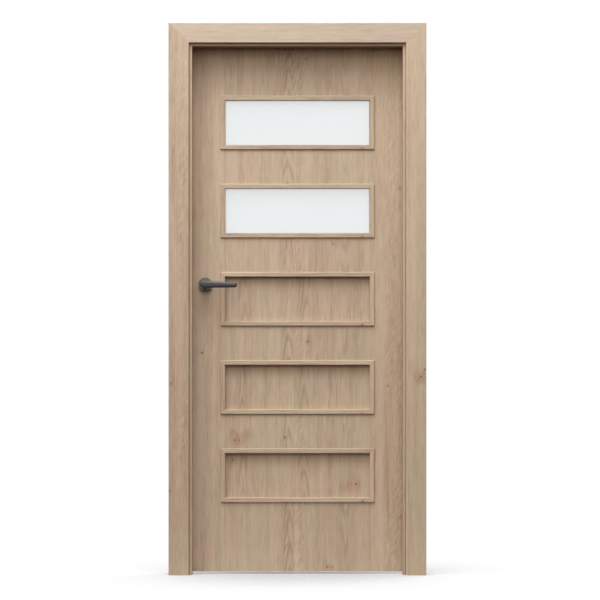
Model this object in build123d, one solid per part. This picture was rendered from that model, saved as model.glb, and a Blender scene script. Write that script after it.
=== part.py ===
from build123d import *
import os

# An interior door set: a rebated stile-and-rail leaf hung in a lined frame that is cased on both wall faces.
# Sizes are millimetres. The floor is z = 0, the middle of the wall is y = 0 and the leaf opens towards +Y.
# The origin lies on the wall side of the hinge lining, so the doorway spreads from there towards -X.

# Doorway and wall
passage_width = 800.0
passage_height = 2008.0
wall_thickness = 100.0

# Lining boards
lining_thickness = 22.0
reveal_step = 12.0
lining_edge_round = 1.0

# Casings on the wall faces
casing_width = 77.0
casing_thickness = 12.0
casing_edge_round = 3.0
tongue_thickness = 5.0
tongue_length = 20.0
joint_clearance = 0.2

# Rebate that takes the leaf
stop_width = 12.0
stop_gap = 5.0
rebate_block_width = 28.0

# Seal in the stop
seal_inset = 4.0
seal_width = 5.0
seal_depth = 6.0
seal_round = 1.5
mitre_gap = 0.2

# Leaf
leaf_thickness = 40.0
lip_thickness = 15.0
lip_gap = 5.0
lip_overlap = 10.0
lip_edge_round = 2.0
hinge_edge_gap = 5.0
lock_edge_gap = 6.0
floor_gap = 7.0

# Stiles and rails, and the openings that they leave, counted from the bottom
stile_width = 141.0
bottom_rail_height = 277.0
cross_rail_height = 157.0
top_rail_height = 218.0
opening_count = 5
glazed_count = 2

# Infill and beads
panel_thickness = 10.0
glass_thickness = 5.0
infill_clearance = 0.5
bead_lap = 12.5
bead_leg = 4.5
bead_proud = 6.0
bead_bevel = 1.2
bead_edge_round = 2.0

# Hinges
hinge_count = 3
hinge_end_distance = 240.0
knuckle_side_gap = 1.5
knuckle_radius = 7.5
knuckle_height = 30.0
knuckle_gap = 0.5
knuckle_bevel = 1.5
pivot_radius = 4.0
pivot_end_wall = 8.0
pivot_clearance = 0.08
stem_radius = 4.0
stem_clearance = 0.1
leaf_stem_depth = 32.0
frame_stem_depth = 20.0

# Lock
lock_line = 11.0
faceplate_width = 18.0
faceplate_height = 235.0
faceplate_thickness = 3.0
latch_thickness = 10.0
latch_height = 26.0
latch_length = 40.0
latch_bevel = 6.0
latch_clearance = 0.5
strike_width = 20.0
strike_height = 170.0
strike_thickness = 3.0
strike_pocket_depth = 14.0

# Handle
handle_height = 1104.0
handle_backset = 54.0
rose_radius = 27.0
rose_thickness = 7.0
rose_edge_round = 2.5
rose_bearing_depth = 5.0
bearing_clearance = 0.08
neck_radius = 10.0
neck_foot_gap = 0.4
lever_projection = 64.0
lever_depth = 20.0
lever_length = 122.5
lever_overhang = 20.0
lever_hub_radius = 13.5
lever_tip_radius = 10.25
lever_tip_drop = 2.0
lever_edge_round = 8.5
fillet_share = 0.45
spindle_size = 8.0
spindle_reach = 22.0
spindle_hole_radius = 6.2

# Places across the wall
y_wall_front = -wall_thickness / 2
y_wall_back = wall_thickness / 2
y_casing_front = y_wall_front - casing_thickness
y_casing_back = y_wall_back + casing_thickness
y_lip_front = y_casing_back + lip_gap
y_leaf_back = y_lip_front + lip_thickness
y_leaf_front = y_leaf_back - leaf_thickness
y_leaf_middle = (y_leaf_front + y_leaf_back) / 2
y_stop = y_leaf_front - stop_gap

# Places along the wall
half_passage = passage_width / 2
x_centre = -(half_passage + lining_thickness)
x_hinge_reveal = x_centre + half_passage
x_lock_reveal = x_centre - half_passage
x_body_hinge = x_hinge_reveal + stop_width - hinge_edge_gap
x_body_lock = x_lock_reveal - stop_width + lock_edge_gap
x_lip_hinge = x_hinge_reveal + stop_width + lip_overlap
x_lip_lock = x_lock_reveal - stop_width - lip_overlap
x_opening_hinge = x_lip_hinge - stile_width
x_opening_lock = x_lip_lock + stile_width
opening_width = x_opening_hinge - x_opening_lock
x_hinge_axis = x_lip_hinge + knuckle_side_gap + knuckle_radius
y_hinge_axis = y_lip_front + lip_thickness / 2
x_handle = x_body_lock + handle_backset
y_lock = y_leaf_front + lock_line

# Heights
z_body_top = passage_height + stop_width - hinge_edge_gap
z_lip_top = passage_height + stop_width + lip_overlap
z_first_opening = floor_gap + bottom_rail_height
openings_span = z_lip_top - top_rail_height - z_first_opening
opening_height = (openings_span - (opening_count - 1) * cross_rail_height) / opening_count
opening_pitch = opening_height + cross_rail_height
z_openings = [z_first_opening + index * opening_pitch for index in range(opening_count)]
z_first_hinge = floor_gap + hinge_end_distance
z_last_hinge = z_lip_top - hinge_end_distance
hinge_pitch = (z_last_hinge - z_first_hinge) / (hinge_count - 1)
z_hinges = [z_first_hinge + index * hinge_pitch for index in range(hinge_count)]

centre_plane = Plane.YZ.offset(x_centre)
leaf_plane = Plane.XZ.offset(-y_leaf_middle)


def block(x_limits, y_limits, z_limits):
    """A rectangular solid between the given limits."""
    sizes = [high - low for low, high in (x_limits, y_limits, z_limits)]
    corner = (x_limits[0], y_limits[0], z_limits[0])
    return Pos(*corner) * Box(*sizes, align=(Align.MIN, Align.MIN, Align.MIN))


def outline(points):
    """A face bounded by straight lines through the points."""
    return make_face(Polyline(*points, close=True))


def rod_along_y(x, z, radius, y_start, y_end):
    """A round bar or bore between two depths."""
    plane = Plane(origin=(x, y_start, z), x_dir=(1, 0, 0), z_dir=(0, 1, 0))
    return extrude(plane * Circle(radius), amount=y_end - y_start)


def rod_along_x(y, z, radius, x_start, x_end):
    """A round bar or bore between two places along the wall."""
    plane = Plane(origin=(x_start, y, z), x_dir=(0, 1, 0), z_dir=(1, 0, 0))
    return extrude(plane * Circle(radius), amount=x_end - x_start)


def rod_along_z(x, y, radius, z_start, z_end):
    """A round bar or bore between two heights."""
    plane = Plane(origin=(x, y, z_start))
    return extrude(plane * Circle(radius), amount=z_end - z_start)


def frame_members(profile, gap=0.0):
    """Carry a profile up both jambs and across the head, mitred where they meet.

    The profile's first axis runs outwards from the reveal and its second is the depth y.
    """
    reach = profile.bounding_box().max.X
    corner = (x_hinge_reveal, 0, passage_height)
    mitre = Plane(origin=corner, x_dir=(0, 1, 0), z_dir=(-1, 0, 1))
    jamb_foot = Plane(origin=(x_hinge_reveal, 0, 0))
    jamb = extrude(jamb_foot * profile, amount=passage_height + reach)
    hinge_side = split(jamb, bisect_by=mitre.offset(-gap / 2), keep=Keep.BOTTOM)
    lock_side = mirror(hinge_side, about=centre_plane)
    head_end = Plane(origin=(x_hinge_reveal + reach, 0, passage_height), x_dir=(0, 0, 1), z_dir=(-1, 0, 0))
    head = extrude(head_end * profile, amount=passage_width + 2 * reach)
    half_head = split(head, bisect_by=mitre.offset(gap / 2), keep=Keep.TOP)
    far_corner = (x_lock_reveal, 0, passage_height)
    far_mitre = Plane(origin=far_corner, x_dir=(0, 1, 0), z_dir=(1, 0, 1))
    head = split(half_head, bisect_by=far_mitre.offset(gap / 2), keep=Keep.TOP)
    return {"left": lock_side, "right": hinge_side, "head": head}


def lining_profile():
    """A lining board, grooved in front for the casing's tongue and behind for the seal."""
    groove_middle = (reveal_step + lining_thickness) / 2
    groove_half = tongue_thickness / 2 + joint_clearance
    groove_end = y_wall_front + tongue_length + joint_clearance
    seal_end = y_stop - seal_depth
    board = outline([(0, y_wall_front), (lining_thickness, y_wall_front), (lining_thickness, y_stop), (0, y_stop)])
    board = fillet(board.vertices().group_by(Axis.X)[0], lining_edge_round)
    tongue_groove = outline([
        (groove_middle - groove_half, y_wall_front),
        (groove_middle + groove_half, y_wall_front),
        (groove_middle + groove_half, groove_end),
        (groove_middle - groove_half, groove_end),
    ])
    seal_groove = outline([
        (seal_inset, seal_end),
        (seal_inset + seal_width, seal_end),
        (seal_inset + seal_width, y_stop),
        (seal_inset, y_stop),
    ])
    return board - tongue_groove - seal_groove


def front_casing_profile():
    """A flat casing board with a tongue that enters the lining."""
    tongue_middle = (reveal_step + lining_thickness) / 2
    tongue_half = tongue_thickness / 2
    casing_end = reveal_step + casing_width
    tongue_end = y_wall_front + tongue_length
    board = outline([
        (reveal_step, y_casing_front),
        (casing_end, y_casing_front),
        (casing_end, y_wall_front),
        (tongue_middle + tongue_half, y_wall_front),
        (tongue_middle + tongue_half, tongue_end),
        (tongue_middle - tongue_half, tongue_end),
        (tongue_middle - tongue_half, y_wall_front),
        (reveal_step, y_wall_front),
    ])
    return fillet(board.vertices().group_by(Axis.Y)[0], casing_edge_round)


def back_casing_profile():
    """The rebate casing: a face board on a block that is glued to the lining's edge."""
    block_end = stop_width + rebate_block_width
    casing_end = stop_width + casing_width
    board = outline([
        (stop_width, y_stop),
        (block_end, y_stop),
        (block_end, y_wall_back),
        (casing_end, y_wall_back),
        (casing_end, y_casing_back),
        (stop_width, y_casing_back),
    ])
    return fillet(board.vertices().group_by(Axis.Y)[-1], casing_edge_round)


def seal_profile():
    """A soft strip pressed into its groove, its rounded crown level with the stop."""
    side = joint_clearance / 2
    strip = outline([
        (seal_inset + side, y_stop - seal_depth + side),
        (seal_inset + seal_width - side, y_stop - seal_depth + side),
        (seal_inset + seal_width - side, y_stop),
        (seal_inset + side, y_stop),
    ])
    return fillet(strip.vertices().group_by(Axis.Y)[-1], seal_round)


def plate_outline(width, height):
    """A lock plate's outline with fully rounded ends, across Y and up Z."""
    return SlotOverall(height, width, rotation=90)


def plate(x_start, thickness, y, z, width, height):
    """A round-ended plate on a face that looks along X."""
    plane = Plane(origin=(x_start, y, z), x_dir=(0, 1, 0), z_dir=(1, 0, 0))
    return extrude(plane * plate_outline(width, height), amount=thickness)


def strike_hole(depth):
    """The space in the rebate that the latch enters, cut to a depth behind the rebate face."""
    x_face = x_lock_reveal - stop_width
    half_y = latch_thickness / 2 + latch_clearance
    half_z = latch_height / 2 + latch_clearance
    y_limits = (y_lock - half_y, y_lock + half_y)
    z_limits = (handle_height - half_z, handle_height + half_z)
    return block((x_face - depth, x_face), y_limits, z_limits)


def frame_parts():
    """Linings, casings, seal and strike plate."""
    parts = {}
    for side, member in frame_members(lining_profile()).items():
        parts["lining_" + side] = member
    for side, member in frame_members(front_casing_profile()).items():
        parts["casing_front_" + side] = member
    for side, member in frame_members(back_casing_profile()).items():
        parts["casing_back_" + side] = member
    parts["door_seal"] = Compound(children=list(frame_members(seal_profile(), mitre_gap).values()))
    x_face = x_lock_reveal - stop_width
    y_strike = (y_stop + y_casing_back) / 2
    strike = plate(x_face - strike_thickness, strike_thickness, y_strike, handle_height, strike_width, strike_height)
    parts["casing_back_left"] -= strike
    parts["casing_back_left"] -= strike_hole(strike_thickness + strike_pocket_depth)
    parts["strike_plate"] = strike - strike_hole(strike_thickness)
    for z in z_hinges:
        stem_z = z - knuckle_height / 2
        y_end = y_casing_back - frame_stem_depth
        bore = rod_along_y(x_hinge_axis, stem_z, stem_radius + stem_clearance, y_end, y_casing_back)
        parts["casing_back_right"] -= bore
    return parts


def stile(x_opening, x_body, x_lip):
    """One full-height stile with the rebated lip on its outer edge and along its top."""
    section = outline([
        (x_opening, y_leaf_front),
        (x_body, y_leaf_front),
        (x_body, y_lip_front),
        (x_lip, y_lip_front),
        (x_lip, y_leaf_back),
        (x_opening, y_leaf_back),
    ])
    outer = max if x_lip > x_opening else min
    x_outer = outer(x_lip, x_opening)
    corner = [v for v in section.vertices() if v.Y > y_leaf_back - 1e-3 and abs(v.X - x_outer) < 1e-3]
    section = fillet(corner, lip_edge_round)
    board = extrude(Pos(0, 0, floor_gap) * section, amount=z_lip_top - floor_gap)
    x_limits = (min(x_opening, x_lip), max(x_opening, x_lip))
    return board - block(x_limits, (y_leaf_front, y_lip_front), (z_body_top, z_lip_top))


def rails():
    """The top, cross and bottom rails between the stiles."""
    across = (x_opening_lock, x_opening_hinge)
    through = (y_leaf_front, y_leaf_back)
    parts = {"rail_bottom": block(across, through, (floor_gap, z_openings[0]))}
    for index in range(opening_count - 1):
        z_low = z_openings[index] + opening_height
        parts[f"rail_cross_{index + 1}"] = block(across, through, (z_low, z_openings[index + 1]))
    z_last = z_openings[-1] + opening_height
    top = block(across, through, (z_last, z_lip_top))
    parts["rail_top"] = top - block(across, (y_leaf_front, y_lip_front), (z_body_top, z_lip_top))
    return parts


def infill(z_low, thickness):
    """A pane or panel in the middle of the leaf's thickness."""
    x_limits = (x_opening_lock + infill_clearance, x_opening_hinge - infill_clearance)
    y_limits = (y_leaf_middle - thickness / 2, y_leaf_middle + thickness / 2)
    z_limits = (z_low + infill_clearance, z_low + opening_height - infill_clearance)
    return block(x_limits, y_limits, z_limits)


def bead_strip(outer_length, depth):
    """A bead along X with both ends mitred, its outer edge on z = 0 and the leaf's face on y = 0."""
    width = bead_lap + bead_leg
    section = outline([
        (0, 0),
        (0, bead_proud),
        (width - bead_bevel, bead_proud),
        (width, bead_proud - bead_bevel),
        (width, -depth),
        (bead_lap + joint_clearance, -depth),
        (bead_lap + joint_clearance, 0),
    ])
    edge = [v for v in section.vertices() if v.X < 1e-3 and v.Y > bead_proud - 1e-3]
    section = fillet(edge, bead_edge_round)
    start = Plane(origin=(outer_length / 2, 0, 0), x_dir=(0, 0, -1), z_dir=(-1, 0, 0))
    strip = extrude(start * section, amount=outer_length)
    for side in (1, -1):
        end = Plane(origin=(side * outer_length / 2, 0, 0), x_dir=(0, 1, 0), z_dir=(side, 0, -1))
        strip = split(strip, bisect_by=end.offset(-mitre_gap / 2), keep=Keep.BOTTOM)
    return strip


def bead_ring(thickness):
    """Four front beads round an opening that is centred on the origin."""
    depth = (leaf_thickness - thickness) / 2
    half_width = opening_width / 2 + bead_lap
    half_height = opening_height / 2 + bead_lap
    level = bead_strip(2 * half_width, depth)
    upright = bead_strip(2 * half_height, depth)
    return [
        Pos(0, 0, half_height) * level,
        Pos(0, 0, -half_height) * Rot(0, 180, 0) * level,
        Pos(half_width, 0, 0) * Rot(0, 90, 0) * upright,
        Pos(-half_width, 0, 0) * Rot(0, -90, 0) * upright,
    ]


def openings():
    """Panes, panels and their beads on both faces of the leaf."""
    parts = {}
    panel_count = opening_count - glazed_count
    panel_ring = bead_ring(panel_thickness)
    glass_ring = bead_ring(glass_thickness)
    for index, z_low in enumerate(z_openings):
        is_panel = index < panel_count
        name = f"panel_{index + 1}" if is_panel else f"glass_{index - panel_count + 1}"
        parts[name] = infill(z_low, panel_thickness if is_panel else glass_thickness)
        place = Pos(x_centre, y_leaf_front, z_low + opening_height / 2)
        front = [place * strip for strip in (panel_ring if is_panel else glass_ring)]
        back = [mirror(strip, about=leaf_plane) for strip in front]
        parts[f"beads_front_{index + 1}"] = Compound(children=front)
        parts[f"beads_back_{index + 1}"] = Compound(children=back)
    return parts


def lock_case_cut():
    """What the lock takes out of the lock stile: faceplate seat, latch way and spindle hole."""
    seat = plate(x_body_lock, faceplate_thickness, y_lock, handle_height, faceplate_width, faceplate_height)
    half_y = latch_thickness / 2 + latch_clearance
    half_z = latch_height / 2 + latch_clearance
    x_limits = (x_body_lock, x_body_lock + latch_length + latch_clearance)
    way = block(x_limits, (y_lock - half_y, y_lock + half_y), (handle_height - half_z, handle_height + half_z))
    hole = rod_along_y(x_handle, handle_height, spindle_hole_radius, y_leaf_front, y_leaf_back)
    return seat, way, hole


def latch():
    """The latch bolt, drawn back level with the faceplate, its nose bevelled on the closing side."""
    plane = Plane.XY.offset(handle_height - latch_height / 2)
    y_low = y_lock - latch_thickness / 2
    y_high = y_lock + latch_thickness / 2
    section = outline([
        (x_body_lock, y_high),
        (x_body_lock, y_low + latch_bevel),
        (x_body_lock + latch_bevel, y_low),
        (x_body_lock + latch_length, y_low),
        (x_body_lock + latch_length, y_high),
    ])
    return extrude(plane * section, amount=latch_height)


def leaf_parts():
    """Stiles, rails, infill, beads and lock of the hung leaf."""
    parts = rails()
    parts.update(openings())
    seat, way, hole = lock_case_cut()
    parts["stile_lock"] = stile(x_opening_lock, x_body_lock, x_lip_lock) - seat - way - hole
    parts["lock_faceplate"] = seat - way
    parts["latch_bolt"] = latch()
    hinge_stile = stile(x_opening_hinge, x_body_hinge, x_lip_hinge)
    for z in z_hinges:
        stem_z = z + knuckle_height / 2
        x_end = x_lip_hinge - leaf_stem_depth
        hinge_stile -= rod_along_x(y_hinge_axis, stem_z, stem_radius + stem_clearance, x_end, x_lip_hinge)
    parts["stile_hinge"] = hinge_stile
    return parts


def knuckle(z_start, z_end):
    """One turned barrel of a hinge, bevelled at its outer end."""
    z_low, z_high = sorted((z_start, z_end))
    barrel = rod_along_z(x_hinge_axis, y_hinge_axis, knuckle_radius, z_low, z_high)
    rims = barrel.edges().filter_by(GeomType.CIRCLE).sort_by(Axis.Z)
    return chamfer(rims[-1:] if z_end > z_start else rims[:1], knuckle_bevel)


def hinge_frame_half(z):
    """The lower barrel with its pivot, screwed into the casing by a stem."""
    barrel = knuckle(z - knuckle_gap / 2, z - knuckle_height)
    pivot_end = z + knuckle_height - pivot_end_wall
    pivot = rod_along_z(x_hinge_axis, y_hinge_axis, pivot_radius, z - knuckle_height / 2, pivot_end)
    y_end = y_casing_back - frame_stem_depth
    stem = rod_along_y(x_hinge_axis, z - knuckle_height / 2, stem_radius, y_end, y_hinge_axis)
    return barrel + pivot + stem


def hinge_leaf_half(z):
    """The upper barrel that turns on the pivot, screwed into the leaf's lip by a stem."""
    barrel = knuckle(z + knuckle_gap / 2, z + knuckle_height)
    x_end = x_lip_hinge - leaf_stem_depth
    stem = rod_along_x(y_hinge_axis, z + knuckle_height / 2, stem_radius, x_end, x_hinge_axis)
    bore_radius = pivot_radius + pivot_clearance
    bore_end = z + knuckle_height - pivot_end_wall + knuckle_gap
    bore = rod_along_z(x_hinge_axis, y_hinge_axis, bore_radius, z, bore_end)
    return barrel + stem - bore


def hinges():
    """Both halves of every hinge."""
    return {
        "hinge_frame_halves": Compound(children=[hinge_frame_half(z) for z in z_hinges]),
        "hinge_leaf_halves": Compound(children=[hinge_leaf_half(z) for z in z_hinges]),
    }


def front_rose():
    """A round rose with a bearing for the lever's neck."""
    y_face = y_leaf_front - rose_thickness
    disc = rod_along_y(x_handle, handle_height, rose_radius, y_face, y_leaf_front)
    rims = disc.edges().filter_by(GeomType.CIRCLE).sort_by(Axis.Y)
    disc = fillet(rims[:1], rose_edge_round)
    bearing_radius = neck_radius + bearing_clearance
    disc -= rod_along_y(x_handle, handle_height, bearing_radius, y_face, y_face + rose_bearing_depth)
    return disc - rod_along_y(x_handle, handle_height, spindle_hole_radius, y_face, y_leaf_front)


def front_lever():
    """A tapered bar with rounded edges and a slight droop, on a round neck that takes the spindle."""
    y_bar = y_leaf_front - lever_projection
    hub = Pos(lever_hub_radius - lever_overhang, 0) * Circle(lever_hub_radius)
    tip = Pos(lever_length - lever_tip_radius, lever_tip_drop) * Circle(lever_tip_radius)
    shape = make_hull(hub.edges() + tip.edges())
    plane = Plane(origin=(x_handle, y_bar, handle_height), x_dir=(1, 0, 0), z_dir=(0, 1, 0))
    bar = extrude(plane * shape, amount=lever_depth)
    rims = bar.edges().group_by(Axis.Y)
    bar = fillet(rims[0] + rims[-1], min(lever_edge_round, fillet_share * lever_depth))
    y_foot = y_leaf_front - rose_thickness + rose_bearing_depth - neck_foot_gap
    neck = rod_along_y(x_handle, handle_height, neck_radius, y_bar + lever_depth / 2, y_foot)
    return bar + neck - spindle(joint_clearance / 2)


def spindle(growth=0.0):
    """The square bar that joins both levers through the leaf, or its socket when grown."""
    half = spindle_size / 2 + growth
    y_start = y_leaf_front - rose_thickness - spindle_reach - growth
    y_end = 2 * y_leaf_middle - y_start
    x_limits = (x_handle - half, x_handle + half)
    return block(x_limits, (y_start, y_end), (handle_height - half, handle_height + half))


def handle_parts():
    """Roses, levers and spindle; the back ones mirror the front ones in the leaf."""
    rose = front_rose()
    lever = front_lever()
    return {
        "rose_front": rose,
        "rose_back": mirror(rose, about=leaf_plane),
        "lever_front": lever,
        "lever_back": mirror(lever, about=leaf_plane),
        "spindle": spindle(),
    }


def main():
    """Write one STEP file for each named piece."""
    os.makedirs("parts", exist_ok=True)
    pieces = {**frame_parts(), **leaf_parts(), **hinges(), **handle_parts()}
    for name, shape in pieces.items():
        export_step(shape, f"parts/{name}.step")


main()
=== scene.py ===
"""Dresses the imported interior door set: oak, glass and metal finishes, small fasteners, floor, light and camera."""

import logging
import math
from dataclasses import dataclass, replace
from enum import Enum
from typing import Any, Optional, Sequence, Union

import bpy
import numpy as np
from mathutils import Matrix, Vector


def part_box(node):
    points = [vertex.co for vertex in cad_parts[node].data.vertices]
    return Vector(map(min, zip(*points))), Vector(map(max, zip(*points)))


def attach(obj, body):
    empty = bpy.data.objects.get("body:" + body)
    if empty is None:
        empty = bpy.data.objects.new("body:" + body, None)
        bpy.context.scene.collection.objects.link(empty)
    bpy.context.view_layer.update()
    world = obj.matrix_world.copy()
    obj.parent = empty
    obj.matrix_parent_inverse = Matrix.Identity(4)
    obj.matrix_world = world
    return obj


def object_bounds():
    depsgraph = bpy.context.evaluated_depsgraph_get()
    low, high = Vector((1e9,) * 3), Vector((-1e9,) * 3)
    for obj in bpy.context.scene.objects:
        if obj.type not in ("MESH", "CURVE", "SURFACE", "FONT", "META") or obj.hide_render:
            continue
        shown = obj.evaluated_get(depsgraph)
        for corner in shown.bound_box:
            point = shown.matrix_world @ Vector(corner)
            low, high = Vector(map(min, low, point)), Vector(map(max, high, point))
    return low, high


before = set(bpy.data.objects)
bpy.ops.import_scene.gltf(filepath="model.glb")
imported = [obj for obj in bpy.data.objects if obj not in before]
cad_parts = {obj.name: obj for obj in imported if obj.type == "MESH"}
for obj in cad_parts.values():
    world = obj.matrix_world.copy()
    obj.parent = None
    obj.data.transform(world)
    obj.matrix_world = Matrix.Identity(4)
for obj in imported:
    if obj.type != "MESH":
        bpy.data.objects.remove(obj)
CAD_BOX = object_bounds()

LOG = logging.getLogger("door_set")

# Places that the finishes share, in metres
X_CENTRE = -0.422
X_MITRE = 0.412
Z_MITRE = 2.020
# The next two: where the painted shadow line on the lining's lip lies, beside the casing's edge
X_LIP_SHADOW = 0.4106
Z_LIP_SHADOW = 2.0186
X_RAIL_END = 0.2755
Z_FIRST_RING = 0.374
RING_PITCH = 0.337
RING_HALF_WIDTH = 0.2935
RING_HALF_HEIGHT = 0.1025

Colour = tuple[float, float, float]
Term = Union["Signal", float, Sequence[float]]


class Grain(Enum):
    """How the fibres of a board run."""

    UPRIGHT = "upright"
    LEVEL = "level"
    RING = "ring"


class Signal:
    """A value that a shader works out at each point, for use in Python sums."""

    def __init__(self, shading: "Shading", socket: bpy.types.NodeSocket) -> None:
        """Keep the socket that gives the value and the shading that it belongs to."""
        self.shading = shading
        self.socket = socket

    def _math(self, operation: str, *terms: Term, clamp: bool = False) -> "Signal":
        """Add a Math node.

        Args:
            operation: The node's operation.
            terms: Its inputs in order.
            clamp: Whether the result is held between 0 and 1.

        Returns:
            The node's result.
        """
        settings = {"operation": operation, "use_clamp": clamp}
        return self.shading.node("ShaderNodeMath", settings, dict(enumerate(terms)))

    def __add__(self, other: Term) -> "Signal":
        """This plus the other."""
        return self._math("ADD", self, other)

    def __radd__(self, other: Term) -> "Signal":
        """The other plus this."""
        return self._math("ADD", other, self)

    def __sub__(self, other: Term) -> "Signal":
        """This less the other."""
        return self._math("SUBTRACT", self, other)

    def __rsub__(self, other: Term) -> "Signal":
        """The other less this."""
        return self._math("SUBTRACT", other, self)

    def __mul__(self, other: Term) -> "Signal":
        """This times the other."""
        return self._math("MULTIPLY", self, other)

    def __rmul__(self, other: Term) -> "Signal":
        """The other times this."""
        return self._math("MULTIPLY", other, self)

    def __truediv__(self, other: Term) -> "Signal":
        """This over the other."""
        return self._math("DIVIDE", self, other)

    def __gt__(self, other: Term) -> "Signal":
        """One where this is the greater, else zero."""
        return self._math("GREATER_THAN", self, other)

    def __abs__(self) -> "Signal":
        """This without its sign."""
        return self._math("ABSOLUTE", self)

    def sine(self) -> "Signal":
        """The sine of this angle in radians."""
        return self._math("SINE", self)

    def root(self) -> "Signal":
        """The square root of this."""
        return self._math("SQRT", self)

    def least(self, other: Term) -> "Signal":
        """The smaller of this and the other."""
        return self._math("MINIMUM", self, other)

    def wrap(self, high: float, low: float) -> "Signal":
        """This brought into a range by whole steps of its width."""
        return self._math("WRAP", self, high, low)

    def clamped(self) -> "Signal":
        """This held between 0 and 1."""
        return self._math("ADD", self, 0.0, clamp=True)

    def fade(self, start: float, end: float) -> "Signal":
        """A smooth step.

        Args:
            start: The value where the step gives 0.
            end: The value where the step gives 1.

        Returns:
            The step between 0 and 1.
        """
        settings = {"interpolation_type": "SMOOTHSTEP"}
        inputs = {"Value": self, "From Min": start, "From Max": end}
        return self.shading.node("ShaderNodeMapRange", settings, inputs)


class Shading:
    """A node tree whose nodes are added one by one round its shader."""

    def __init__(self, owner: Union[bpy.types.Material, bpy.types.World], shader: str, place: str) -> None:
        """Take the tree that a material or world starts with.

        Args:
            owner: The material or world.
            shader: The type of its shader node.
            place: The coordinate that its patterns read.
        """
        owner.use_nodes = True
        self.tree = owner.node_tree
        self.shader = next(n for n in self.tree.nodes if n.type == shader)
        self.place = self.node("ShaderNodeTexCoord", {}, {}, place)
        parts = self.tree.nodes.new("ShaderNodeSeparateXYZ")
        self.tree.links.new(self.place.socket, parts.inputs[0])
        self.x, self.y, self.z = (Signal(self, parts.outputs[axis]) for axis in range(3))

    def node(
        self, kind: str, settings: dict[str, Any], inputs: dict[Any, Term], output: Union[int, str] = 0
    ) -> Signal:
        """Add one node.

        Args:
            kind: The node's type.
            settings: Its properties, set first; stops are a colour ramp's positions and colours.
            inputs: Values or links, by the socket's name or number.
            output: The output that is wanted.

        Returns:
            That output as a signal.
        """
        made = self.tree.nodes.new(kind)
        for name, value in settings.items():
            if name == "stops":
                self._set_stops(made, value)
            else:
                setattr(made, name, value)
        for key, value in inputs.items():
            self.feed(made.inputs[key], value)
        return Signal(self, made.outputs[output])

    def _set_stops(self, ramp: bpy.types.Node, stops: Sequence[tuple[float, Colour]]) -> None:
        """Give a colour ramp its stops.

        Args:
            ramp: The ramp node.
            stops: Position and colour of each stop, in order.
        """
        elements = ramp.color_ramp.elements
        while len(elements) < len(stops):
            elements.new(0.5)
        for element, (position, colour) in zip(elements, stops):
            element.position = position
            element.color = (*colour, 1.0)

    def feed(self, socket: bpy.types.NodeSocket, value: Term) -> None:
        """Link a signal to a socket, or set the socket's own value.

        Args:
            socket: The socket to fill.
            value: A signal, a number or a tuple.
        """
        if isinstance(value, Signal):
            self.tree.links.new(value.socket, socket)
        elif isinstance(value, (int, float)):
            socket.default_value = value
        else:
            size = len(socket.default_value)
            socket.default_value = (*value, 1.0)[:size]

    def dress(self, **sockets: Term) -> None:
        """Fill the shader's sockets; an underscore in a name stands for a space.

        Args:
            sockets: Value or link of each socket.
        """
        for name, value in sockets.items():
            self.feed(self.shader.inputs[name.replace("_", " ")], value)

    def vector(self, x: Term, y: Term, z: Term) -> Signal:
        """Three numbers as one vector."""
        return self.node("ShaderNodeCombineXYZ", {}, {0: x, 1: y, 2: z})

    def noise(self, place: Signal, scale: float, detail: float, roughness: float) -> Signal:
        """Cloudy noise around one half.

        Args:
            place: The point to read it at.
            scale: Its frequency.
            detail: Its octaves.
            roughness: How much each finer octave adds.

        Returns:
            The noise, mostly between 0.2 and 0.8.
        """
        inputs = {"Vector": place, "Scale": scale, "Detail": detail, "Roughness": roughness}
        return self.node("ShaderNodeTexNoise", {"noise_dimensions": "3D"}, inputs)

    def mix(self, factor: Term, first: Term, second: Term) -> Signal:
        """A colour between two colours.

        Args:
            factor: 0 for the first, 1 for the second.
            first: The first colour.
            second: The second colour.

        Returns:
            The mixed colour.
        """
        return self.node("ShaderNodeMix", {"data_type": "RGBA"}, {0: factor, 6: first, 7: second}, 2)

    def bump(self, height: Signal, strength: float, distance: float) -> Signal:
        """A normal tilted by a height map.

        Args:
            height: The height between 0 and 1.
            strength: The effect's share.
            distance: The height of 1, in metres.

        Returns:
            The tilted normal.
        """
        inputs = {"Height": height, "Strength": strength, "Distance": distance}
        return self.node("ShaderNodeBump", {}, inputs, "Normal")


class Surface(Shading):
    """A material on the object's own coordinates."""

    def __init__(self, name: str) -> None:
        """Start a material.

        Args:
            name: The material's name.
        """
        self.material = bpy.data.materials.new(name)
        super().__init__(self.material, "BSDF_PRINCIPLED", "Object")


class Sky(Shading):
    """The light from all round, by direction."""

    def __init__(self, name: str) -> None:
        """Start a world and make it the scene's.

        Args:
            name: The world's name.
        """
        self.world = bpy.data.worlds.new(name)
        bpy.context.scene.world = self.world
        super().__init__(self.world, "BACKGROUND", "Generated")


@dataclass(frozen=True)
class Flame:
    """A band of nested arches where a growth ring grazes the face.

    Attributes:
        across: The band's middle, measured across the grain in metres.
        half_width: Half its width.
        slope: How far the arches lean for each metre along the grain.
        strength: How dark the lines are.
    """

    across: float
    half_width: float
    slope: float
    strength: float


@dataclass(frozen=True)
class Flecks:
    """A band of short slanting strokes where the rays show on the face.

    Attributes:
        across: The band's middle, measured across the grain in metres.
        half_width: Half its width.
        slant: The strokes' angle from the fibres, in degrees.
        strength: How much lighter the strokes are.
    """

    across: float
    half_width: float
    slant: float
    strength: float


@dataclass(frozen=True)
class Knot:
    """A small knot on the face, with the halo of browner wood round it.

    Attributes:
        x: Its place along the wall.
        z: Its height.
        size: The core's size, 1 for about 5 mm.
        halo: The halo's size, 1 for about 40 mm.
    """

    x: float
    z: float
    size: float = 1.0
    halo: float = 0.5


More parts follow.
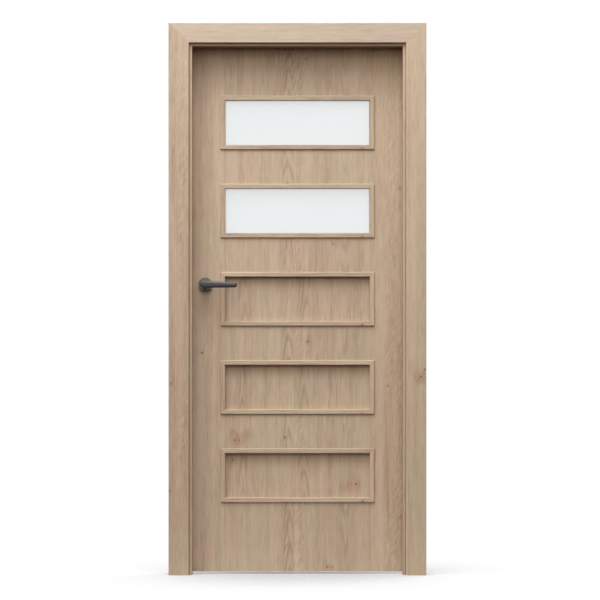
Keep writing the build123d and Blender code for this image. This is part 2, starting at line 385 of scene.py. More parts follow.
@dataclass(frozen=True)
class OakFinish:
    """Light oak veneer under a matt lacquer.

    Attributes:
        name: The material's name.
        grain: The way of the fibres.
        seed: A shift of the pattern, so that no two boards are alike.
        tint: A factor on the whole colour.
        contrast: A factor on the grain's strength.
        flames: Bands of arches.
        flecks: Bands of strokes.
        knots: Small knots.
        step: Place across the grain where the veneer changes, and how much darker it is past it.
        mitred: Whether a fine joint shows at the frame's mitre.
        lip_shadow_gap: Whether painted shade, a dark line on the lining's lip, stands for the shadow in the gap where
            the casing lies on the lining.
        rail_joints: Whether fine joints show where the rails meet the stiles.
    """

    name: str
    grain: Grain
    seed: Colour
    tint: Colour = (1.0, 1.0, 1.0)
    contrast: float = 1.0
    flames: tuple[Flame, ...] = ()
    flecks: tuple[Flecks, ...] = ()
    knots: tuple[Knot, ...] = ()
    step: Optional[tuple[float, float]] = None
    mitred: bool = False
    lip_shadow_gap: bool = False
    rail_joints: bool = False

    LIGHT = (0.555, 0.428, 0.310)
    MIDDLE = (0.440, 0.332, 0.234)
    DARK = (0.285, 0.200, 0.128)
    KNOT = (0.120, 0.068, 0.038)
    # Colour of the painted shade in the gap between casing and lining
    GAP_SHADE = (0.105, 0.068, 0.042)
    HALO = (0.90, 0.82, 0.74)
    PINK = (1.034, 0.984, 0.992)
    OLIVE = (0.968, 1.012, 0.972)

    def _fibre_place(self, surface: Surface) -> tuple[Signal, Signal, Signal]:
        """Turn the point so that its last number runs along the fibres.

        Args:
            surface: The material that is being made.

        Returns:
            The turned point, its place across the grain and its place along it.
        """
        upright = surface.vector(surface.x, surface.y, surface.z)
        level = surface.vector(surface.z, surface.y, surface.x)
        if self.grain is Grain.UPRIGHT:
            return upright, surface.x, surface.z
        if self.grain is Grain.LEVEL:
            return level, surface.z, surface.x
        from_ring = abs((surface.z - Z_FIRST_RING).wrap(RING_PITCH / 2, -RING_PITCH / 2)) - RING_HALF_HEIGHT
        from_side = abs(surface.x - X_CENTRE) - RING_HALF_WIDTH
        is_level = from_ring > from_side
        place = surface.node("ShaderNodeMix", {"data_type": "VECTOR"}, {0: is_level, 4: upright, 5: level}, 1)
        return place, surface.x, surface.z

    def _stretched(self, surface: Surface, place: Signal, along: float) -> Signal:
        """Draw a pattern out along the fibres.

        Args:
            surface: The material that is being made.
            place: The turned point.
            along: The share of the frequency that is left along the fibres.

        Returns:
            The point to read the pattern at.
        """
        moved = surface.node("ShaderNodeVectorMath", {"operation": "ADD"}, {0: place, 1: self.seed})
        return surface.node("ShaderNodeVectorMath", {"operation": "MULTIPLY"}, {0: moved, 1: (1.0, 1.0, along)})

    def _arches(self, flame: Flame, across: Signal, along: Signal, wander: Signal) -> Signal:
        """Lines where hyperbolas, root(u * u + w * w) + slope * along, pass whole steps.

        Args:
            flame: The band of arches.
            across: Place across the grain.
            along: Place along the grain.
            wander: Slow noise that bends the lines.

        Returns:
            The darkening between 0 and the band's strength.
        """
        step = 0.0115
        crown = 0.014
        offset = across - flame.across
        arch = (offset * offset + crown * crown).root()
        count = (arch + along * flame.slope + wander * 0.05) * (2 * math.pi / step)
        lines = (count.sine() * 0.5 + 0.5).fade(0.45, 1.0)
        inside = abs(offset).fade(flame.half_width, flame.half_width * 0.3)
        return lines * inside * flame.strength

    def _strokes(self, surface: Surface, band: Flecks, across: Signal, along: Signal, wander: Signal) -> Signal:
        """Light strokes: noise read on axes turned by the slant, where slow noise lets them through.

        Args:
            surface: The material that is being made.
            band: The band of strokes.
            across: Place across the grain.
            along: Place along the grain.
            wander: Slow noise that breaks the band up.

        Returns:
            The lightening, about zero in the mean.
        """
        cosine = math.cos(math.radians(band.slant))
        sine = math.sin(math.radians(band.slant))
        beside = across * cosine - along * sine
        lengthwise = across * sine + along * cosine
        turned = surface.vector(beside * 150.0, surface.y, lengthwise * 24.0)
        stroke = surface.noise(turned, 1.0, 2.0, 0.5).fade(0.42, 0.66) - 0.35
        inside = abs(across - band.across).fade(band.half_width, band.half_width * 0.6)
        return stroke * inside * wander.fade(-0.10, 0.06) * band.strength

    def _knot_marks(self, surface: Surface, ragged: Signal) -> tuple[Signal, Signal]:
        """Mark the knots: each falls off with the distance to its middle, which noise makes ragged.

        Args:
            surface: The material that is being made.
            ragged: Noise about zero.

        Returns:
            The cores and the halos, each between 0 and 1.
        """
        scale = {"operation": "MULTIPLY"}
        flat = surface.node("ShaderNodeVectorMath", scale, {0: surface.place, 1: (1.0, 0.0, 0.85)})
        cores: Term = 0.0
        halos: Term = 0.0
        for knot in self.knots:
            centre = (knot.x, 0.0, knot.z * 0.85)
            away = surface.node("ShaderNodeVectorMath", {"operation": "DISTANCE"}, {0: flat, 1: centre}, "Value")
            cores = (away + ragged * 0.006).fade(0.0062 * knot.size, 0.0016 * knot.size) + cores
            halos = (away + ragged * 0.030).fade(0.042 * knot.halo, 0.0) * 0.75 + halos
        return cores.clamped(), halos.clamped()

    def _joints_and_gap_shade(self, surface: Surface, colour: Signal) -> Signal:
        """Darken the fine lines where boards meet, and paint a dark shade line where the casing lies on the lining.

        Args:
            surface: The material that is being made.
            colour: The wood's colour.

        Returns:
            The colour with its joints and the painted gap shade.
        """
        from_centre = abs(surface.x - X_CENTRE)
        if self.mitred:
            joint = abs(from_centre - X_MITRE - surface.z + Z_MITRE)
            colour = surface.mix(joint.fade(0.0012, 0.0005) * 0.25, colour, self.DARK)
        # Painted shade: a dark line on the lining's front lip, next to the casing's edge, stands for the shadow in
        # the gap there
        if self.lip_shadow_gap:
            side = from_centre.fade(X_LIP_SHADOW - 0.0012, X_LIP_SHADOW)
            head = surface.z.fade(Z_LIP_SHADOW - 0.0012, Z_LIP_SHADOW)
            front = surface.y.fade(0.0, -0.02)
            colour = surface.mix((side + head).clamped() * front * 0.8, colour, self.GAP_SHADE)
        if self.rail_joints:
            joint = abs(from_centre - X_RAIL_END)
            side = (X_CENTRE - surface.x).fade(-0.3, 0.3)
            colour = surface.mix(joint.fade(0.0030, 0.0008) * side * 0.32, colour, self.DARK)
        return colour

    def material(self) -> bpy.types.Material:
        """Make the veneer.

        Returns:
            The finished material.
        """
        surface = Surface(self.name)
        place, across, along = self._fibre_place(surface)
        strips = surface.node(
            "ShaderNodeTexVoronoi",
            {"feature": "F1", "voronoi_dimensions": "3D"},
            {"Vector": self._stretched(surface, place, 0.04), "Scale": 26.0, "Randomness": 1.0},
            "Color",
        )
        strip = surface.node("ShaderNodeSeparateColor", {}, {0: strips}, "Red")
        strip_hue = surface.node("ShaderNodeSeparateColor", {}, {0: strips}, "Green")
        wander = surface.noise(self._stretched(surface, place, 0.14), 14.0, 2.0, 0.5) - 0.5
        drift = surface.noise(self._stretched(surface, place, 0.20), 9.0, 2.0, 0.5) - 0.5
        grain = surface.noise(self._stretched(surface, place, 0.028), 38.0, 6.0, 0.70) - 0.5
        fibre = surface.noise(self._stretched(surface, place, 0.05), 260.0, 3.0, 0.6) - 0.5
        mottle = surface.noise(self._stretched(surface, place, 0.40), 60.0, 3.0, 0.6) - 0.5
        pores = surface.noise(self._stretched(surface, place, 0.03), 1500.0, 1.0, 0.5).fade(0.62, 0.74)
        streaks = (strip - 0.5) * 0.20 + grain * 1.05 + fibre * 1.15 + mottle * 0.32 + drift * 0.32
        tone = streaks * self.contrast + 0.54
        for flame in self.flames:
            tone = tone - self._arches(flame, across, along, wander)
        for band in self.flecks:
            tone = tone + self._strokes(surface, band, across, along, wander)
        if self.step:
            tone = tone - (across > self.step[0]) * self.step[1]
        if self.knots:
            ragged = surface.noise(surface.place, 120.0, 3.0, 0.6) - 0.5
            cores, halos = self._knot_marks(surface, ragged)
            swirl = surface.noise(surface.place, 330.0, 2.0, 0.5) - 0.5
            tone = tone + swirl * halos * 1.6
        tone = (tone - pores * 0.08).clamped()
        stops = [(0.0, self.DARK), (0.5, self.MIDDLE), (1.0, self.LIGHT)]
        scaled = [(at, tuple(c * t for c, t in zip(colour, self.tint))) for at, colour in stops]
        colour = surface.node("ShaderNodeValToRGB", {"stops": scaled}, {0: tone})
        hue = surface.mix(((strip_hue - 0.5) * 0.6 + drift * 2.0 + 0.5).clamped(), self.PINK, self.OLIVE)
        colour = surface.node(
            "ShaderNodeMix", {"data_type": "RGBA", "blend_type": "MULTIPLY"}, {0: 1.0, 6: colour, 7: hue}, 2
        )
        if self.knots:
            browner = {"data_type": "RGBA", "blend_type": "MULTIPLY"}
            colour = surface.node("ShaderNodeMix", browner, {0: halos, 6: colour, 7: self.HALO}, 2)
            colour = surface.mix(cores * 0.78, colour, self.KNOT)
        colour = self._joints_and_gap_shade(surface, colour)
        height = (fibre * 0.8 - pores * 0.6 + grain * 0.5 + 0.5).clamped()
        surface.dress(
            Base_Color=colour,
            Roughness=0.52 + grain * 0.2 + pores * 0.12,
            Normal=surface.bump(height, 0.25, 0.0004),
            Specular_IOR_Level=0.35,
        )
        return surface.material


@dataclass(frozen=True)
class FrostedGlass:
    """White satin-etched glass."""

    name: str = "frosted_white_glass"
    colour: Colour = (0.865, 0.888, 0.895)

    def material(self) -> bpy.types.Material:
        """Make the glass.

        Returns:
            The finished material.
        """
        surface = Surface(self.name)
        cloud = surface.noise(surface.place, 9.0, 2.0, 0.5)
        grit = surface.noise(surface.place, 2600.0, 1.0, 0.5)
        surface.dress(
            Base_Color=surface.mix(cloud, tuple(c * 0.975 for c in self.colour), self.colour),
            Roughness=0.42 + (grit - 0.5) * 0.2,
            Normal=surface.bump(grit, 0.08, 0.0001),
            Transmission_Weight=0.92,
            IOR=1.45,
        )
        return surface.material


@dataclass(frozen=True)
class CoatedMetal:
    """A satin powder coat on metal."""

    name: str
    colour: Colour

    def material(self) -> bpy.types.Material:
        """Make the coat.

        Returns:
            The finished material.
        """
        surface = Surface(self.name)
        grain = surface.noise(surface.place, 1800.0, 2.0, 0.55)
        cloud = surface.noise(surface.place, 40.0, 3.0, 0.5)
        surface.dress(
            Base_Color=surface.mix(cloud, tuple(c * 0.9 for c in self.colour), tuple(c * 1.1 for c in self.colour)),
            Roughness=0.46 + (grain - 0.5) * 0.18,
            Normal=surface.bump(grain, 0.12, 0.0001),
            Specular_IOR_Level=0.35,
        )
        return surface.material


@dataclass(frozen=True)
class SatinSteel:
    """Brushed steel, its fine scratches drawn out along one way."""

    name: str
    colour: Colour
    stretch: Colour

    def material(self) -> bpy.types.Material:
        """Make the steel.

        Returns:
            The finished material.
        """
        surface = Surface(self.name)
        drawn = surface.node("ShaderNodeVectorMath", {"operation": "MULTIPLY"}, {0: surface.place, 1: self.stretch})
        scratch = surface.noise(drawn, 900.0, 3.0, 0.6)
        surface.dress(
            Base_Color=surface.mix(scratch, tuple(c * 0.88 for c in self.colour), self.colour),
            Roughness=0.30 + (scratch - 0.5) * 0.25,
            Normal=surface.bump(scratch, 0.10, 0.0001),
            Metallic=1.0,
        )
        return surface.material


@dataclass(frozen=True)
class SealRubber:
    """Soft brown sealing strip."""

    name: str = "seal_rubber"
    colour: Colour = (0.075, 0.050, 0.034)

    def material(self) -> bpy.types.Material:
        """Make the rubber.

        Returns:
            The finished material.
        """
        surface = Surface(self.name)
        bloom = surface.noise(surface.place, 120.0, 3.0, 0.5)
        surface.dress(
            Base_Color=surface.mix(bloom, self.colour, tuple(c * 1.35 for c in self.colour)),
            Roughness=0.62 + (bloom - 0.5) * 0.2,
        )
        return surface.material


def set_material(node: str, material: bpy.types.Material) -> None:
    """Give a solid its finish.

    Args:
        node: The solid's name.
        material: The finish.
    """
    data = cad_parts[node].data
    data.materials.clear()
    data.materials.append(material)
    LOG.info("dressed %s", node)


def surface_mesh(name: str, points: np.ndarray, closed: bool, material: bpy.types.Material) -> bpy.types.Object:
    """Turn a grid of points into an object.

    Args:
        name: The piece's name.
        points: Rows by columns by three, in metres.
        closed: Whether the last row joins the first, and the last column the first.
        material: The piece's finish.

    Returns:
        The new object.
    """
    rows, columns = points.shape[:2]
    open_ends = 0 if closed else 1
    row, column = np.meshgrid(np.arange(rows - open_ends), np.arange(columns - open_ends), indexing="ij")
    next_row = (row + 1) % rows
    next_column = (column + 1) % columns
    corners = [row * columns + column, row * columns + next_column,
               next_row * columns + next_column, next_row * columns + column]
    faces = np.stack(corners, -1).reshape(-1, 4)
    mesh = bpy.data.meshes.new(name)
    mesh.from_pydata(points.reshape(-1, 3).tolist(), [], faces.tolist())
    mesh.materials.append(material)
    mesh.validate()
    made = bpy.data.objects.new(name, mesh)
    bpy.context.scene.collection.objects.link(made)
    return made


def lathe_mesh(name: str, rings: np.ndarray, poles: np.ndarray, material: bpy.types.Material) -> bpy.types.Object:
    """Turn closed rings between two poles into an object.

    Args:
        name: The piece's name.
        rings: Rings by points by three, in metres, from the first pole to the last.
        poles: The two end points.
        material: The piece's finish.

    Returns:
        The new object.
    """
    rows, columns = rings.shape[:2]
    row, column = np.meshgrid(np.arange(rows - 1), np.arange(columns), indexing="ij")
    following = (column + 1) % columns
    corners = [row * columns + column, (row + 1) * columns + column,
               (row + 1) * columns + following, row * columns + following]
    around = np.arange(columns)
    ahead = (around + 1) % columns
    last = (rows - 1) * columns
    first_pole = np.full(columns, rows * columns)
    first_cap = np.stack([first_pole, around, ahead], -1)
    last_cap = np.stack([first_pole + 1, last + ahead, last + around], -1)
    faces = np.stack(corners, -1).reshape(-1, 4).tolist() + first_cap.tolist() + last_cap.tolist()
    mesh = bpy.data.meshes.new(name)
    mesh.from_pydata(np.concatenate([rings.reshape(-1, 3), poles]).tolist(), [], faces)
    mesh.materials.append(material)
    mesh.validate()
    made = bpy.data.objects.new(name, mesh)
    bpy.context.scene.collection.objects.link(made)
    return made


class Drive(Enum):
    """The recess that a screw is turned by."""

    CROSS = "cross"
    HEXAGON = "hexagon"


@dataclass(frozen=True)
class Screw:
    """A screw head that lies on a face, its shank hidden.

    Attributes:
        name: The piece's name.
        place: The middle of its seat on the face, in metres.
        outwards: The way that the head looks.
        upwards: A way that lies in the face.
        radius: The head's radius.
        height: How far its middle stands out.
        crown: The share of that height that is left at the rim.
        sink: How far its foot goes into the face.
        drive: Its recess.
        recess: The recess's half width.
    """

    name: str
    place: Colour
    outwards: Colour
    upwards: Colour
    radius: float
    height: float
    crown: float
    sink: float
    drive: Drive
    recess: float

    RING_COUNT = 28
    POINT_COUNT = 72

    def _recess(self, across: np.ndarray, up: np.ndarray) -> np.ndarray:
        """Share of the recess's depth: 1 well inside its outline, 0 outside and a steep slope between.

        Args:
            across: Places across the head.
            up: Places up the head.

        Returns:
            The share at each place.
        """
        if self.drive is Drive.CROSS:
            arm = np.minimum(np.abs(across), np.abs(up)) - self.recess * 0.28
            outside = np.maximum(arm, np.maximum(np.abs(across), np.abs(up)) - self.recess)
        else:
            turns = np.radians([0.0, 60.0, 120.0])
            sides = [np.abs(across * np.cos(turn) + up * np.sin(turn)) for turn in turns]
            outside = np.maximum.reduce(sides) - self.recess
        return np.clip(0.5 - outside / (0.16 * self.recess), 0.0, 1.0)

    def build(self, material: bpy.types.Material) -> bpy.types.Object:
        """Shape the head: height(r, angle) = rim + (crown of a parabola) - recess, closed by its rim and foot.

        Args:
            material: The head's finish.

        Returns:
            The new object.
        """
        share = np.linspace(0.0, 1.0, self.RING_COUNT + 1)[1:]
        angle = np.linspace(0.0, 2 * math.pi, self.POINT_COUNT, endpoint=False)
        reach, turn = np.meshgrid(share * self.radius, angle, indexing="ij")
        across = reach * np.cos(turn)
        up = reach * np.sin(turn)
        dome = self.height * (1.0 - (1.0 - self.crown) * (reach / self.radius) ** 2)
        top = dome - 0.85 * self.height * self._recess(across, up)
        foot = np.full(self.POINT_COUNT, -self.sink)
        depth = np.concatenate([top, foot[None]])
        across = np.concatenate([across, across[-1:]])
        up = np.concatenate([up, up[-1:]])
        out = np.array(self.outwards)
        high = np.array(self.upwards)
        sideways = np.cross(high, out)
        place = np.array(self.place)
        rings = place + across[..., None] * sideways + up[..., None] * high + depth[..., None] * out
        poles = place + np.array([[0.15 * self.height], [-self.sink]]) * out
        return lathe_mesh(self.name, rings, poles, material)


def fasten(screw: Screw, material: bpy.types.Material, body: str) -> None:
    """Put a screw on a body and note it.

    Args:
        screw: The screw.
        material: Its finish.
        body: The body that it rides on.
    """
    made = screw.build(material)
    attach(made, body)
    LOG.info("built %s on %s", screw.name, body)


def plate_screw(name: str, place: Colour, way: float) -> Screw:
    """A raised countersunk screw for a lock plate.

    Args:
        name: The piece's name.
        place: The middle of its seat.
        way: 1 to look along +X, -1 to look along -X.

    Returns:
        The screw.
    """
    return Screw(name, place, (way, 0.0, 0.0), (0.0, 0.0, 1.0), 0.0038, 0.0005, 0.3, 0.0004, Drive.CROSS, 0.0021)


@dataclass
class FrameSet:
    """Lining, casings, seal and strike of the fixed frame."""

    lining: OakFinish = OakFinish(
        "oak_lining", Grain.UPRIGHT, (3.1, 0.7, 5.2), (0.95, 0.92, 0.90), 0.8, lip_shadow_gap=True,
    )
    lining_right: OakFinish = OakFinish(
        "oak_lining_right", Grain.UPRIGHT, (4.6, 7.7, 0.2), (1.00, 0.97, 0.95), 0.8, lip_shadow_gap=True,
    )
    # Painted shade: the head lining's tint is much darker, for the shadow that the head casing casts on its lip
    lining_head: OakFinish = OakFinish(
        "oak_lining_head_painted_shade", Grain.LEVEL, (8.3, 1.9, 2.4), (0.66, 0.61, 0.55), 0.8, lip_shadow_gap=True,
    )
    left: OakFinish = OakFinish(
        "oak_casing_left", Grain.UPRIGHT, (1.7, 4.4, 9.6), (0.955, 0.945, 0.945), 0.98,
        flecks=(Flecks(-0.856, 0.024, 24.0, 0.30),),
        knots=(Knot(-0.901, 0.726, 0.6, 0.3), Knot(-0.905, 0.320, 0.8, 0.4)),
        mitred=True,
    )
    right: OakFinish = OakFinish(
        "oak_casing_right", Grain.UPRIGHT, (7.4, 0.9, 3.8), (1.05, 1.06, 1.075), 0.7,
        knots=(Knot(0.046, 0.753, 0.9, 0.9), Knot(0.040, 0.746, 0.6, 0.8), Knot(0.061, 0.781, 0.8, 0.2)),
        mitred=True,
    )
    head: OakFinish = OakFinish(
        "oak_casing_head", Grain.LEVEL, (6.2, 3.3, 0.8), (1.02, 1.075, 1.18), 0.65, mitred=True,
    )
    strike_screw: float = 0.062

    def dress(self, steel: bpy.types.Material, hinge_steel: bpy.types.Material) -> None:
        """Give every frame solid its finish.

        Args:
            steel: Finish of the strike plate.
            hinge_steel: Finish of the hinges.
        """
        level = self.head.material()
        boards = {"left": (self.left, self.lining), "right": (self.right, self.lining_right)}
        for side, (board, lining) in boards.items():
            upright = board.material()
            set_material(f"lining_{side}", lining.material())
            set_material(f"casing_front_{side}", upright)
            set_material(f"casing_back_{side}", upright)
        set_material("lining_head", self.lining_head.material())
        set_material("casing_front_head", level)
        set_material("casing_back_head", level)
        set_material("door_seal", SealRubber().material())
        set_material("strike_plate", steel)
        set_material("hinge_frame_halves", hinge_steel)
        self.fasten_strike(steel)

    def fasten_strike(self, steel: bpy.types.Material) -> None:
        """Put a screw near each end of the strike plate.

        Args:
            steel: Finish of the screws.
        """
        low, high = (np.array(corner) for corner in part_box("strike_plate"))
        middle = 0.5 * (low + high)
        for end, offset in (("low", -self.strike_screw), ("high", self.strike_screw)):
            place = (high[0], middle[1], middle[2] + offset)
            fasten(plate_screw(f"strike_screw_{end}", place, 1.0), steel, "frame")


@dataclass
class LeafSet:
    """Stiles, rails, infill and beads of the leaf."""

    panel_count: int = 3
    glass_count: int = 2
    rail_count: int = 4
    opening_count: int = 5
    # Painted light: the lock stile's tint is raised a little to make up for the soft shadow that the handle casts
    # below it
    lock_stile: OakFinish = OakFinish(
        "oak_lock_stile", Grain.UPRIGHT, (17.3, 5.1, 2.9), (1.03, 1.03, 1.04), 0.86,
        knots=(Knot(-0.787, 0.842, 0.9, 0.35),),
    )
    hinge_stile: OakFinish = OakFinish(
        "oak_hinge_stile", Grain.UPRIGHT, (2.9, 8.1, 7.7), (1.03, 1.03, 1.03), 0.8,
        flecks=(Flecks(-0.052, 0.042, 24.0, 0.25),),
        knots=(Knot(-0.030, 1.470, 0.8, 0.35), Knot(-0.030, 0.214, 0.8, 0.4), Knot(-0.076, 0.716, 0.6, 0.3)),
        step=(-0.0913, 0.08),
    )
    rails: OakFinish = OakFinish(
        "oak_rails", Grain.UPRIGHT, (5.5, 6.6, 1.3), (1.02, 1.03, 1.04), 0.88,
        flames=(Flame(-0.455, 0.036, 0.12, 0.30), Flame(-0.240, 0.022, -0.10, 0.22)),
        flecks=(Flecks(-0.435, 0.050, 22.0, 0.34),),
        knots=(
            Knot(-0.382, 0.885, 0.9, 0.5), Knot(-0.470, 0.519, 0.8, 0.35), Knot(-0.390, 1.966, 0.5, 0.3),
            Knot(-0.660, 0.509, 0.9, 0.9), Knot(-0.645, 0.509, 0.6, 0.8), Knot(-0.668, 0.540, 0.4, 0.5),
            Knot(-0.610, 0.525, 0.1, 0.9), Knot(-0.286, 1.258, 0.6, 0.3), Knot(-0.309, 0.024, 0.8, 0.6),
            Knot(-0.290, 0.022, 0.3, 0.5),
        ),
        rail_joints=True,
    )
    panels: OakFinish = OakFinish(
        "oak_panels", Grain.UPRIGHT, (5.5, 6.6, 1.3), (1.01, 1.02, 1.03), 0.95,
        flames=(Flame(-0.395, 0.030, 0.11, 0.28), Flame(-0.632, 0.024, 0.09, 0.25)),
        knots=(
            Knot(-0.198, 0.340, 0.9, 1.1), Knot(-0.214, 0.342, 0.6, 1.0), Knot(-0.250, 0.325, 0.1, 0.7),
            Knot(-0.668, 0.433, 0.7, 0.5),
        ),
    )
    beads: OakFinish = OakFinish(
        "oak_beads", Grain.RING, (4.7, 9.9, 6.3), (1.02, 1.02, 1.04),
        knots=tuple(Knot(-0.174, 0.274 + RING_PITCH * index, 0.8, 0.3) for index in range(5)),
    )
    # Painted shade: the bottom rail is darkened to take back the extra light that the floor throws onto the foot of
    # the leaf
    rail_foot_painted_shade: Colour = (0.945, 0.945, 0.955)
    # Partly painted shade: a real glazing seal, made dark so that it also draws the shadow line under the top bead on
    # the glass
    pane_seal_and_shadow: SealRubber = SealRubber("pane_seal_and_shadow", (0.13, 0.115, 0.10))
    seal_width: float = 0.0010
    bead_cover: float = 0.0040
    faceplate_screw: float = 0.100

    def dress(self, steel: bpy.types.Material, hinge_steel: bpy.types.Material) -> None:
        """Give every leaf solid its finish.

        Args:
            steel: Finish of the faceplate and latch.
            hinge_steel: Finish of the hinges.
        """
        set_material("stile_lock", self.lock_stile.material())
        set_material("stile_hinge", self.hinge_stile.material())
        rail = self.rails.material()
        set_material("rail_top", rail)
        set_material("rail_bottom", replace(self.rails, name="oak_rail_bottom_painted_shade", tint=self.rail_foot_painted_shade).material())
        for index in range(self.rail_count):
            set_material(f"rail_cross_{index + 1}", rail)
        panel = self.panels.material()
        for index in range(self.panel_count):
            set_material(f"panel_{index + 1}", panel)
        glass = FrostedGlass().material()
        for index in range(self.glass_count):
            set_material(f"glass_{index + 1}", glass)
        bead = self.beads.material()
        for index in range(self.opening_count):
            set_material(f"beads_front_{index + 1}", bead)
            set_material(f"beads_back_{index + 1}", bead)
        set_material("lock_faceplate", steel)
        set_material("latch_bolt", steel)
        set_material("hinge_leaf_halves", hinge_steel)
        self.fasten_faceplate(steel)
        self.seal_panes()

    def fasten_faceplate(self, steel: bpy.types.Material) -> None:
        """Put a screw near each end of the lock's faceplate.

        Args:
            steel: Finish of the screws.
        """
        low, high = (np.array(corner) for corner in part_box("lock_faceplate"))
        middle = 0.5 * (low + high)
        for end, offset in (("low", -self.faceplate_screw), ("high", self.faceplate_screw)):
            place = (low[0], middle[1], middle[2] + offset)
            fasten(plate_screw(f"faceplate_screw_{end}", place, -1.0), steel, "leaf")

    def seal_panes(self) -> None:
        """Run a thin dark seal round both faces of each pane, in the corner between the glass and its beads; its dark
        colour also paints the shadow line under each top bead.

        Its profile, a quarter round backed by the hidden corner, is carried round a mitred rectangle.
        """
        rubber = self.pane_seal_and_shadow.material()
        turn = np.linspace(0.0, math.pi / 2, 9)
        inset = np.concatenate([np.cos(turn), [-0.1, -0.1, 1.0]]) * self.seal_width
        depth = np.concatenate([np.sin(turn), [1.0, -0.1, -0.1]]) * self.seal_width
        corners = np.array([[-1.0, -1.0], [1.0, -1.0], [1.0, 1.0], [-1.0, 1.0]])
        for index in range(self.glass_count):
            low, high = (np.array(corner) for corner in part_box(f"glass_{index + 1}"))
            middle = 0.5 * (low + high)
            half = 0.5 * (high - low) - self.bead_cover
            for side, face, way, path in (("front", low[1], -1.0, corners), ("back", high[1], 1.0, corners[::-1])):
                x = middle[0] + path[:, :1] * (half[0] - inset)
                z = middle[2] + path[:, 1:] * (half[2] - inset)
                y = np.broadcast_to(face + way * depth, x.shape)
                made = surface_mesh(f"pane_seal_and_shadow_{side}_{index + 1}", np.stack([x, y, z], -1), True, rubber)
                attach(made, "leaf")
                LOG.info("built %s on leaf", made.name)


@dataclass
class HandleSet:
    """Levers, roses and spindle."""

    coat: CoatedMetal = CoatedMetal("anthracite_coat", (0.062, 0.056, 0.057))
    # Painted light: the roses get a much lighter copy of the levers' coat, for the light that their shaded faces lack
    rose_coat_painted_lighter: CoatedMetal = CoatedMetal("anthracite_rose_painted_lighter", (0.172, 0.150, 0.137))
    neck_radius: float = 0.010
    bar_depth: float = 0.020

    def dress(self, steel: bpy.types.Material) -> None:
        """Give every handle solid its finish.

        Args:
            steel: Finish of the spindle.
        """
        lever = self.coat.material()
        rose = self.rose_coat_painted_lighter.material()
        for side in ("front", "back"):
            set_material(f"lever_{side}", lever)
            set_material(f"rose_{side}", rose)
        set_material("spindle", steel)
        self.fasten_levers(steel)

    def fasten_levers(self, steel: bpy.types.Material) -> None:
        """Put a grub screw into the underside of each lever's neck, half way along what shows of it.

        Args:
            steel: Finish of the screws.
        """
        axis = 0.5 * (np.array(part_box("spindle")[0]) + np.array(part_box("spindle")[1]))
        front = 0.5 * (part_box("rose_front")[0][1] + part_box("lever_front")[0][1] + self.bar_depth)
        for side, y in (("front", front), ("back", 2 * axis[1] - front)):
            place = (axis[0], y, axis[2] - self.neck_radius)
            screw = Screw(
                f"lever_grub_screw_{side}", place, (0.0, 0.0, -1.0), (0.0, 1.0, 0.0),
                0.0025, 0.0005, 0.9, 0.0015, Drive.HEXAGON, 0.00125,
            )
            fasten(screw, steel, "handle")


@dataclass(frozen=True)
class Softbox:
    """A soft light that hangs over the object and faces its middle.

    Attributes:
        name: The light's name.
        steepness: Its angle from level in front of the object, in degrees; past 90 it hangs behind.
        reach: Half the angle that it fills from below to above, in degrees.
        power: Its power in watts.
        colour: The light's colour.
        turn: Its angle round the object, from the front to the right, in degrees.
    """

    name: str
    steepness: float
    reach: float
    power: float
    colour: Colour
    turn: float = 0.0


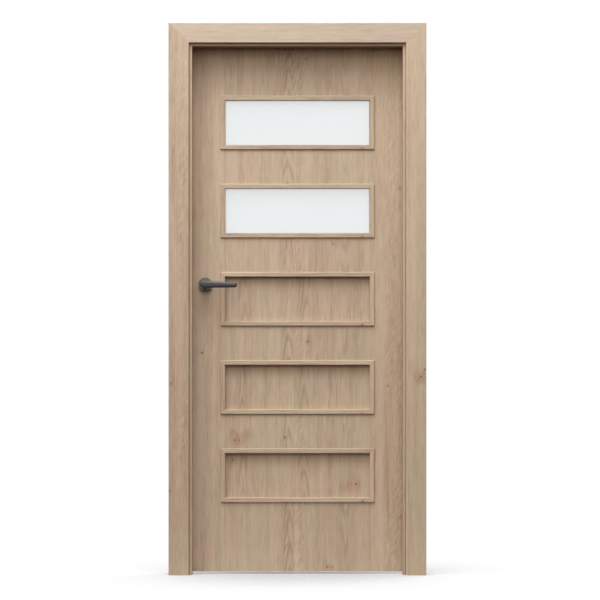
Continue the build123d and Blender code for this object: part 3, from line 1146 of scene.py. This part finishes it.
@dataclass
class Studio:
    """Floor, light and camera round the object.

    Attributes:
        picture: The picture's side in pixels.
        pixel: Size of one pixel on the front of the casings, in metres.
        distance: From the lens to the front of the casings.
        eye_height: Height of the lens.
        shift_pixels: How far the object's middle lies left of the picture's.
        sensor: Width of the camera's sensor in millimetres.
        floor_clear: Distance from the object to where the floor starts to fade.
        floor_reach: Distance to where it has faded out.
        light_distance: From the object's middle to the softboxes.
        aim_height: Height of the point that the softboxes face.
        side_lean: How far the softboxes hang to the left, for each metre in front.
        side_reach: Their width for each metre in front.
        bank: The softboxes: in front from low to high, one behind and one at each side.
        low_colour: Colour of the weak light from below the horizon.
        dome_low: Strength of that light.
        dome_top: Strength that the light from overhead adds.
    """

    picture: int = 600
    pixel: float = 0.003793
    distance: float = 14.0
    eye_height: float = 1.0442
    shift_pixels: float = 2.56
    sensor: float = 36.0
    floor_clear: float = 0.08
    floor_reach: float = 1.0
    light_distance: float = 5.8
    aim_height: float = 1.2
    side_lean: float = 0.28
    side_reach: float = 1.7
    bank: tuple[Softbox, ...] = (
        Softbox("front_softbox", 22.0, 11.0, 121.0, (1.0, 0.93, 0.87)),
        Softbox("raised_softbox", 40.0, 11.0, 99.0, (1.0, 0.97, 0.94)),
        Softbox("high_softbox", 60.0, 11.0, 224.0, (0.97, 1.0, 1.05)),
        Softbox("top_softbox", 74.0, 11.0, 260.0, (0.96, 1.0, 1.07)),
        Softbox("rear_softbox", 130.0, 12.0, 380.0, (1.0, 1.0, 1.0)),
        Softbox("right_softbox", 30.0, 11.0, 120.0, (1.0, 0.97, 0.94), 125.0),
        Softbox("left_softbox", 30.0, 11.0, 120.0, (1.0, 0.97, 0.94), -95.0),
    )
    low_colour: Colour = (1.0, 0.70, 0.50)
    dome_low: float = 0.098
    dome_top: float = 0.40

    def camera(self) -> None:
        """Set the camera square to the front, at the photograph's scale."""
        front = CAD_BOX[0][1]
        data = bpy.data.cameras.new("camera")
        data.sensor_width = self.sensor
        data.lens = self.sensor * self.distance / (self.picture * self.pixel)
        data.shift_x = self.shift_pixels / self.picture
        data.clip_end = 100.0
        made = bpy.data.objects.new("camera", data)
        made.location = (X_CENTRE, front - self.distance, self.eye_height)
        made.rotation_euler = (math.pi / 2, 0.0, 0.0)
        bpy.context.scene.collection.objects.link(made)
        bpy.context.scene.camera = made

    def floor(self) -> None:
        """Lay a round pale floor under the frame's feet, which fades into the white background."""
        middle = np.array([X_CENTRE, 0.5 * (CAD_BOX[0][1] + CAD_BOX[1][1])])
        side = np.array([-self.floor_reach, self.floor_reach])
        x, y = np.meshgrid(side + middle[0], side + middle[1])
        points = np.stack([x, y, np.full_like(x, -0.0005)], -1)
        surface = Surface("pale_floor")
        cloud = surface.noise(surface.place, 1.5, 2.0, 0.5)
        away_x = surface.x - float(middle[0])
        away_y = surface.y - float(middle[1])
        away = (away_x * away_x + away_y * away_y).root()
        surface.dress(
            Base_Color=surface.mix(cloud, (0.43, 0.43, 0.43), (0.46, 0.46, 0.46)),
            Roughness=0.8,
            Specular_IOR_Level=0.1,
            Alpha=away.fade(self.floor_reach, self.floor_clear),
        )
        surface_mesh("floor", points, False, surface.material)

    def hang(self, box: Softbox) -> None:
        """Hang one soft light.

        Args:
            box: The light.
        """
        data = bpy.data.lights.new(box.name, "AREA")
        height = math.sin(math.radians(box.steepness)) * self.light_distance
        depth = math.cos(math.radians(box.steepness)) * self.light_distance
        turn = math.radians(box.turn)
        level = depth * complex(-self.side_lean, -1.0) * complex(math.cos(turn), math.sin(turn))
        away = np.array([level.real, level.imag, height])
        data.shape = "RECTANGLE"
        data.size = self.side_reach * abs(depth)
        data.size_y = 2 * self.light_distance * math.tan(math.radians(box.reach))
        data.energy = box.power
        data.color = box.colour
        made = bpy.data.objects.new(box.name, data)
        made.visible_transmission = False
        made.location = away + np.array([X_CENTRE, 0.0, self.aim_height])
        made.rotation_euler = (
            math.acos(height / np.linalg.norm(away)),
            0.0,
            math.atan2(away[1], away[0]) + math.pi / 2,
        )
        bpy.context.scene.collection.objects.link(made)

    def light(self) -> None:
        """Hang the softboxes and set the sky: a dim dome, warm near the floor and white where it is looked at."""
        for box in self.bank:
            self.hang(box)
        sky = Sky("studio")
        seen = sky.node("ShaderNodeLightPath", {}, {}, "Is Camera Ray")
        seen = (seen + sky.node("ShaderNodeLightPath", {}, {}, "Is Transmission Ray")).clamped()
        dome = sky.z.fade(-0.05, 0.9) * self.dome_top + self.dome_low
        tone = sky.mix(sky.z.fade(0.0, 0.5), self.low_colour, (1.0, 1.0, 1.0))
        sky.dress(Color=sky.mix(seen, tone, (1.0, 1.0, 1.0)), Strength=dome * (1 - seen) + seen)
        bpy.context.scene.view_settings.view_transform = "Standard"


def main() -> None:
    """Build the scene in order."""
    logging.basicConfig(level=logging.INFO, format="%(name)s: %(message)s")
    studio = Studio()
    studio.camera()
    studio.floor()
    studio.light()
    steel = SatinSteel("lock_steel", (0.55, 0.55, 0.54), (1.0, 1.0, 0.03)).material()
    hinge_steel = SatinSteel("hinge_steel", (0.46, 0.46, 0.46), (1.0, 1.0, 0.05)).material()
    FrameSet().dress(steel, hinge_steel)
    LeafSet().dress(steel, hinge_steel)
    HandleSet().dress(steel)


if __name__ == "__main__":
    main()
